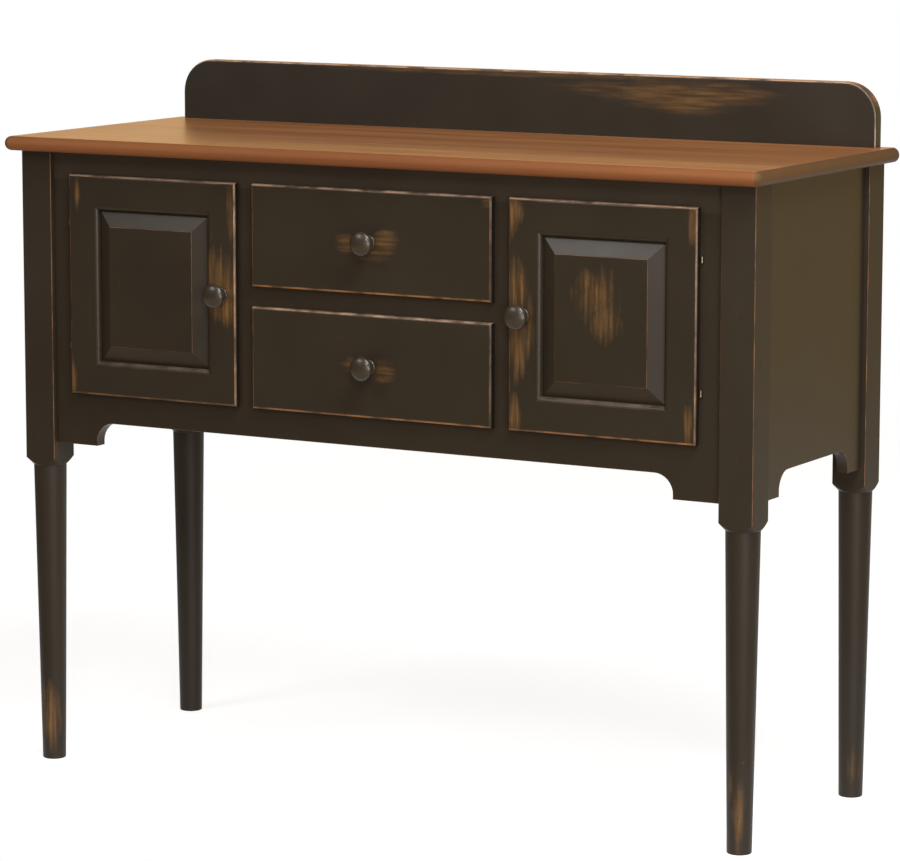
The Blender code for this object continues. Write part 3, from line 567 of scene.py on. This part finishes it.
for level in ("upper", "lower"):
    low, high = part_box(f"{level}_drawer_front")
    paint = black_paint(f"{level}_drawer_paint", "X", on_face(low.y, drawer_rubs[level]), line_wear=0.8)
    lips = on_lip(low, high, **drawer_lips[level])
    smoothed(f"{level}_drawer_front", f"{level}_lipped_front", paint, lips)
    for side in ("left_side", "right_side"):
        frame["nodes"][f"{level}_drawer_{side}"].data.materials[0] = box_wood
    for board in ("back", "bottom"):
        frame["nodes"][f"{level}_drawer_{board}"].data.materials[0] = box_wood_across
    nails = bmesh.new()
    for side, out in (("left", -1), ("right", 1)):
        side_low, side_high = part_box(f"{level}_drawer_{side}_side")
        outer = side_high.x if out > 0 else side_low.x
        for y in (side_low.y + 0.005, side_high.y - 0.006):
            for share in nail_heights:
                z = side_low.z + share * (side_high.z - side_low.z)
                turned_head(nails, nail_profile, nail_steps, (outer - out * nail_sunk, y, z), (out, 0, 0))
    seated(nails, f"{level}_drawer_nails", nail_steel, f"{level}_drawer")
    fixing = bmesh.new()
    screw(fixing, (0, high.y + proud, (low.z + high.z) / 2), (0, 1, 0), **knob_screw)
    seated(fixing, f"{level}_drawer_knob_screw", screw_steel, f"{level}_drawer")


# Doors
# Lipped frames of two stiles and two rails, stuck with a rounded moulding, round a raised panel.
# They are painted as one, and rubbed through at the lips, by the knobs and on the right-hand field.

door_rubs = {
    "left": [
        (-0.234, 0.735, 0.018, 0.060, 0.70),
        (-0.252, 0.742, 0.020, 0.058, 0.88),
        (-0.236, 0.698, 0.022, 0.034, 0.95),
        (-0.256, 0.702, 0.016, 0.030, 0.80),
        (-0.263, 0.735, 0.010, 0.062, 0.95),
        (-0.229, 0.842, 0.010, 0.065, 0.70),
        (-0.494, 0.853, 0.008, 0.034, 0.70),
        (-0.504, 0.580, 0.008, 0.040, 0.85),
    ],
    "right": [
        (0.229, 0.858, 0.012, 0.042, 0.85),
        (0.240, 0.860, 0.012, 0.024, 0.55),
        (0.236, 0.755, 0.022, 0.056, 0.85),
        (0.236, 0.675, 0.018, 0.070, 0.85),
        (0.252, 0.705, 0.016, 0.070, 0.65),
        (0.231, 0.580, 0.014, 0.044, 0.90),
        (0.501, 0.858, 0.010, 0.040, 0.85),
        (0.497, 0.587, 0.010, 0.040, 0.85),
        (0.358, 0.750, 0.048, 0.058, 0.62),
        (0.370, 0.724, 0.042, 0.050, 0.60),
        (0.346, 0.772, 0.030, 0.030, 0.60),
    ],
}
door_lips = {"left": {"upper": 0.65, "lower": 0.4}, "right": {"lower": 0.85, "right": 0.75}}
door_frame = ("hinge_stile", "lock_stile", "top_rail", "bottom_rail")
joint_gap = 0.0003
for side in ("left", "right"):
    corners = [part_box(f"{side}_door_{name}") for name in door_frame]
    low = Vector([min(c[0][i] for c in corners) for i in range(3)])
    high = Vector([max(c[1][i] for c in corners) for i in range(3)])
    upright = black_paint(f"{side}_door_paint", "Z", on_face(low.y, door_rubs[side]), line_wear=0.8)
    across = black_paint(f"{side}_door_rail_paint", "X", line_wear=0.8)
    left_stile, right_stile = corners[:2] if side == "left" else (corners[1], corners[0])
    first, last = left_stile[1].x, right_stile[0].x
    gaps = [(x_axis, first + joint_gap, first), (x_axis, last - joint_gap, last)]
    lips = on_lip(low, high, **door_lips[side])
    for name in door_frame:
        if name.endswith("rail"):
            paint, closing = across, gaps
        else:
            paint, closing = upright, ()
        smoothed(f"{side}_door_{name}", f"{side}_moulded_{name}", paint, lips, closed=closing)
    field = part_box(f"{side}_door_panel")[0].y

    def on_field_edge(a, b):
        """An edge round the raised field."""
        return max(abs(a.y - field), abs(b.y - field)) < in_plane

    smoothed(f"{side}_door_panel", f"{side}_raised_panel", upright,
             soften=0.0006, softened=on_field_edge, worn_edge=0.45, smooth_angle=14)
    knob_low, knob_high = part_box(f"{side}_door_knob")
    knob_middle = (knob_low.x + knob_high.x) / 2
    fixing = bmesh.new()
    screw(fixing, (knob_middle, high.y + proud, (low.z + high.z) / 2), (0, 1, 0), **knob_screw)
    seated(fixing, f"{side}_door_knob_screw", screw_steel, f"{side}_door")


# Knobs
# Turned mushroom knobs of painted hardwood on a small collar, one for each door and drawer.
# Hands have polished them, so they shine more than the boards.

knob_paint = black_paint("knob_paint", "Y", line_wear=0.0, gloss=0.31, shine=0.48,
                         coat=(0.0250, 0.0170, 0.0095))
for owner in ("left_door", "right_door", "upper_drawer", "lower_drawer"):
    smoothed(f"{owner}_knob", f"{owner}_turned_knob", knob_paint, smooth_angle=50)


# Hinges
# Small plated steel hinges with leaves that wrap the frame and the rabbet of the door.
# Two screws with low heads hold each frame leaf, and only the knuckle shows when the door is shut.

plated = metal("hinge_plating", (0.20, 0.165, 0.115), 0.34)
head_profile = [(0, 0.00025), (0.0018, 0.0002), (0.0024, 0), (0, 0)]
head_inset, head_depth, head_steps = 0.007, 0.006, 16
for side, out in (("left", -1), ("right", 1)):
    for level in ("upper", "lower"):
        for piece in ("frame_leaf", "door_leaf", "pin"):
            smoothed(f"{side}_{level}_hinge_{piece}", f"{side}_{level}_{piece}", plated)
        low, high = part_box(f"{side}_{level}_hinge_frame_leaf")
        inner = low.x if out > 0 else high.x
        heads = bmesh.new()
        for z in (low.z + head_inset, high.z - head_inset):
            turned_head(heads, head_profile, head_steps, (inner, high.y - head_depth, z), (-out, 0, 0))
        seated(heads, f"{side}_{level}_frame_screws", screw_steel, "case")


# Catches
# A brown moulded catch fixed behind the top rail at each lock stile.
# The door carries a thin steel strike plate where it meets the catch.

moulded = bpy.data.materials.new("moulded_brown")
moulded.use_nodes = True
grain_tree = moulded.node_tree
grain_place = part(grain_tree, "ShaderNodeTexCoord").outputs["Object"]
speckle = figure(grain_tree, grain_place, (900, 900, 900), 2)
moulded_shader = grain_tree.nodes["Principled BSDF"]
speckled = blended(grain_tree, speckle, (0.075, 0.045, 0.028), (0.115, 0.070, 0.044))
grain_tree.links.new(speckled, moulded_shader.inputs["Base Color"])
grain_tree.links.new(spread(grain_tree, speckle, 0.3, 0.7, 0.42, 0.58), moulded_shader.inputs["Roughness"])
strike_size, strike_corner, strike_thickness = (0.026, 0.013), 0.003, 0.0004
strike_proud, strike_rise = 0.0005, 0.0075
for side in ("left", "right"):
    frame["nodes"][f"{side}_door_catch"].data.materials[0] = moulded
    low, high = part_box(f"{side}_door_catch")
    door_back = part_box(f"{side}_door_lock_stile")[1].y
    spot = Vector(((low.x + high.x) / 2, door_back + strike_proud, low.z + strike_rise))
    laid = Matrix.Rotation(-math.pi / 2, 4, "X") @ Matrix.Diagonal((*strike_size, 1, 1))
    strike = bmesh.new()
    bmesh.ops.create_grid(strike, x_segments=1, y_segments=1, size=0.5,
                          matrix=Matrix.Translation(spot) @ laid)
    bmesh.ops.bevel(strike, geom=strike.verts[:], offset=strike_corner, segments=3, profile=0.5,
                    affect="VERTICES", material=-1)
    bmesh.ops.solidify(strike, geom=strike.faces[:], thickness=strike_thickness)
    bmesh.ops.recalc_face_normals(strike, faces=strike.faces)
    seated(strike, f"{side}_strike_plate", screw_steel, f"{side}_door")


# Studio
# A white sheet that thins out over the floor of a dim warm room, with a white backdrop behind the cabinet.
# Three softboxes hang above, two stand beside the camera, and two warm ones stand behind.
# The camera stands to the right of the front, a little above the top.

floor_middle, floor_size = (0, 1.3, 0), (4.4, 5.4)
floor_mesh = bmesh.new()
bmesh.ops.create_grid(floor_mesh, x_segments=1, y_segments=1, size=0.5,
                      matrix=Matrix.Translation(floor_middle) @ Matrix.Diagonal((*floor_size, 1, 1)))
floor_data = bpy.data.meshes.new("floor")
floor_mesh.to_mesh(floor_data)
floor_mesh.free()
floor = bpy.data.objects.new("floor", floor_data)
bpy.context.scene.collection.objects.link(floor)
floor_finish = bpy.data.materials.new("floor_white")
floor_finish.use_nodes = True
sheet = floor_finish.node_tree
floor_shader = sheet.nodes["Principled BSDF"]
floor_shader.inputs["Base Color"].default_value = (0.42, 0.42, 0.42, 1)
floor_shader.inputs["Roughness"].default_value = 0.9
floor_shader.inputs["Emission Color"].default_value = (1, 1, 1, 1)
ray = part(sheet, "ShaderNodeLightPath").outputs
seen = sums(sheet, "ADD", ray["Is Glossy Ray"], ray["Is Transmission Ray"])
seen = sums(sheet, "ADD", ray["Is Camera Ray"], seen)
whiteness = 0.80
sheet.links.new(spread(sheet, seen, 0.0, 1.0, 0.0, whiteness), floor_shader.inputs["Emission Strength"])
floor_place = part(sheet, "ShaderNodeTexCoord").outputs["Object"]
floor_spot = part(sheet, "ShaderNodeSeparateXYZ", {"Vector": floor_place}).outputs
beside = spread(sheet, sums(sheet, "ABSOLUTE", floor_spot["X"], 0.0), 1.0, 2.0, 1.0, 0.0)
in_front = spread(sheet, floor_spot["Y"], -0.62, -0.22)
behind = spread(sheet, floor_spot["Y"], 2.7, 3.9, 1.0, 0.0)
share = sums(sheet, "MULTIPLY", beside, sums(sheet, "MULTIPLY", in_front, behind))
fade = {"Value": share, "From Min": 0.0, "From Max": 1.0, "To Min": 0.0, "To Max": 1.0}
cover = part(sheet, "ShaderNodeMapRange", fade, interpolation_type="SMOOTHSTEP").outputs["Result"]
clear = part(sheet, "ShaderNodeBsdfTransparent").outputs[0]
thinned = part(sheet, "ShaderNodeMixShader", {0: cover, 1: clear, 2: floor_shader.outputs[0]}).outputs[0]
sheet.links.new(thinned, sheet.nodes["Material Output"].inputs["Surface"])
floor_data.materials.append(floor_finish)

world = bpy.data.worlds.new("studio")
bpy.context.scene.world = world
world.use_nodes = True
sky = world.node_tree
direction = part(sky, "ShaderNodeTexCoord").outputs["Generated"]
backdrop_middle = (-0.4866, 0.8605, -0.1509)
backdrop_rim, backdrop_full = [math.cos(math.radians(angle)) for angle in (15, 10.5)]
facing = part(sky, "ShaderNodeVectorMath", {0: direction, 1: backdrop_middle}, operation="DOT_PRODUCT")
shown = spread(sky, facing.outputs["Value"], backdrop_rim, backdrop_full)
height = part(sky, "ShaderNodeSeparateXYZ", {"Vector": direction}).outputs["Z"]
warm_floor, dim_walls, white = (0.76, 0.59, 0.41), (0.13, 0.13, 0.13), (1.0, 1.0, 1.0)
room = blended(sky, spread(sky, height, -0.35, -0.15), warm_floor, dim_walls)
sky.links.new(blended(sky, shown, room, white), sky.nodes["Background"].inputs["Color"])
sky.nodes["Background"].inputs["Strength"].default_value = 1.0

aim = Vector((0.2, 0, 0.7))


def softbox(name, place, size, power, colour=(1, 1, 1)):
    """Rectangular area lamp that faces the cabinet."""
    lamp = bpy.data.lights.new(name, "AREA")
    lamp.shape = "RECTANGLE"
    lamp.size, lamp.size_y = size
    lamp.energy = power
    lamp.color = colour
    stand = bpy.data.objects.new(name, lamp)
    stand.location = place
    stand.rotation_euler = (aim - Vector(place)).to_track_quat("-Z", "Y").to_euler()
    stand.visible_camera = False
    bpy.context.scene.collection.objects.link(stand)


softbox("high_softbox", (1.7, -1.2, 3.4), (1.5, 1.4), 113)
softbox("left_softbox", (-1.75, -3.0, 3.25), (1.4, 1.1), 45)
softbox("right_softbox", (2.6, -2.4, 0.85), (1.6, 1.2), 59)
softbox("upper_right_softbox", (1.9, -3.3, 2.7), (1.0, 1.0), 54)
softbox("low_softbox", (1.5, -4.2, 0.7), (1.6, 1.2), 10.5)
softbox("warm_side_softbox", (2.9, 4.4, 1.0), (3.5, 3.0), 19.5, (1.0, 0.62, 0.14))
softbox("warm_back_softbox", (-2.6, 4.6, 1.9), (3.0, 1.6), 18, (1.0, 0.60, 0.20))

view = bpy.data.cameras.new("camera")
view.sensor_width = 36
view.lens = 158.24
view.clip_end = 100
camera = bpy.data.objects.new("camera", view)
camera.location = (2.8085, -4.9279, 1.3810)
look = Vector((0.0147, -0.0003, 0.5162)) - camera.location
level_turn = Matrix.Rotation(math.radians(0.05), 3, "Z")
camera.rotation_euler = (look.to_track_quat("-Z", "Y").to_matrix() @ level_turn).to_euler()
bpy.context.scene.collection.objects.link(camera)
bpy.context.scene.camera = camera
bpy.context.scene.view_settings.view_transform = "Standard"
